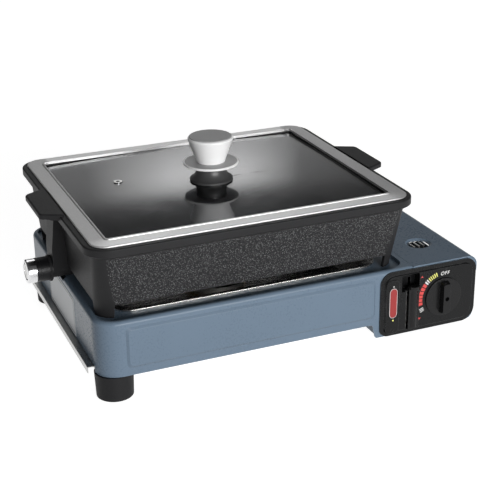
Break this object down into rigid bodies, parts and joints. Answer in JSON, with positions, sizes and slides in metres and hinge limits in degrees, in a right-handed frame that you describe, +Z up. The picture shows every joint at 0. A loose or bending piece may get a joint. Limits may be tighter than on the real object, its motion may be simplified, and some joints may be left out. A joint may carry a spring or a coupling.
{
  "type": "cassette gas stove",
  "caption": "Low tabletop gas stove for a lying butane cassette, with a deep rectangular pan, a drain cap and a framed glass lid.",
  "frame": {"origin": "centre of the outer box on the ground under the feet", "axes": "+X to the cassette side (user's right), +Y away from the user, +Z up"},
  "size_m": [0.466, 0.305, 0.2172],
  "materials": {
    "blue_paint": "slate blue powder coat, satin",
    "zinc_steel": "zinc plated sheet",
    "bright_steel": "bright chromed",
    "tray_steel": "bright tinned sheet",
    "lid_steel": "brushed stainless steel",
    "cast_alloy": "as cast",
    "burner_brass": "turned",
    "ceramic": "glazed ceramic",
    "panel_black": "semi-gloss black",
    "black_matte": "matte black",
    "foot_black": "moulded, finely textured",
    "black_screw": "black oxide",
    "label_foil": "blank satin foil",
    "pan_coating": "black non-stick coating with fine pale specks",
    "black_rubber": "silicone",
    "tinted_glass": "smoked tempered glass",
    "handle_black": "phenolic",
    "handle_white": "phenolic, polished",
    "handle_grey": "satin"
  },
  "bodies": {
    "stove": {"body_shell": "blue_paint", "bottom_plate": "zinc_steel", "bay_tray": "blue_paint", "partition": "zinc_steel", "burner_well": "bright_steel", "burner_bracket": "zinc_steel", "burner_head": "cast_alloy", "burner_cap": "burner_brass", "mixing_tube": "cast_alloy", "gas_jet": "burner_brass", "valve_body": "cast_alloy", "collar_guide": "zinc_steel", "piezo_igniter": "black_matte", "spark_electrode": "ceramic", "cover_hinge_rod": "bright_steel", "hinge_brackets": "zinc_steel", "control_panel": "panel_black", "panel_tongue": "panel_black", "panel_screws": "black_screw", "tray_rails": "zinc_steel", "label_plate": "label_foil", "foot_screws": "black_screw", "foot_front_left": "foot_black", "foot_rear_left": "foot_black", "foot_front_right": "foot_black", "foot_rear_right": "foot_black"},
    "pan": {"pan": "pan_coating", "drain_tube": "black_matte", "drain_ring": "pan_coating"},
    "drain": {"drain_cap": "bright_steel", "drain_badge": "tray_steel", "drain_spindle": "tray_steel"},
    "lid": {"lid_frame": "lid_steel", "lid_seal": "black_rubber", "lid_glass": "tinted_glass", "steam_eyelet": "tray_steel", "handle_foot": "handle_black", "handle_saucer": "handle_white", "saucer_pad": "handle_grey", "handle_grip": "handle_white", "grip_cap": "handle_grey", "handle_washer": "black_rubber", "handle_bolt": "tray_steel"},
    "cover": {"cassette_cover": "blue_paint", "vent_guard": "bright_steel"},
    "knob": {"gas_knob": "panel_black", "gas_spindle": "burner_brass"},
    "lever": {"lever": "panel_black", "lever_arm": "zinc_steel"},
    "carriage": {"carriage": "zinc_steel"},
    "tray": {"drip_tray": "tray_steel"}
  },
  "joints": [
    {"name": "pan_lift", "type": "slide", "parent": "stove", "child": "pan", "axis": [0, 0, 1], "range_m": [0, 0.12]},
    {"name": "lid_lift", "type": "slide", "parent": "pan", "child": "lid", "axis": [0, 0, 1], "range_m": [0, 0.15]},
    {"name": "drain_turn", "type": "hinge", "parent": "pan", "child": "drain", "pos_m": [-0.228, 0.003, 0.0945], "axis": [1, 0, 0], "range_deg": [0, 90]},
    {"name": "cover_open", "type": "hinge", "parent": "stove", "child": "cover", "pos_m": [0.2295, 0.0035, 0.065], "axis": [0, 1, 0], "range_deg": [0, 100]},
    {"name": "knob_turn", "type": "hinge", "parent": "stove", "child": "knob", "pos_m": [0.19, -0.1405, 0.0465], "axis": [0, -1, 0], "range_deg": [0, 120]},
    {"name": "lever_slide", "type": "slide", "parent": "stove", "child": "lever", "axis": [0, 0, 1], "range_m": [0, 0.012]},
    {"name": "carriage_slide", "type": "slide", "parent": "stove", "child": "carriage", "axis": [0, 1, 0], "range_m": [0, 0.006]},
    {"name": "tray_slide", "type": "slide", "parent": "stove", "child": "tray", "axis": [-1, 0, 0], "range_m": [0, 0.2]}
  ],
  "couplings": [
    {"joint": "carriage_slide", "follows": "lever_slide", "ratio": 0.5}
  ]
}
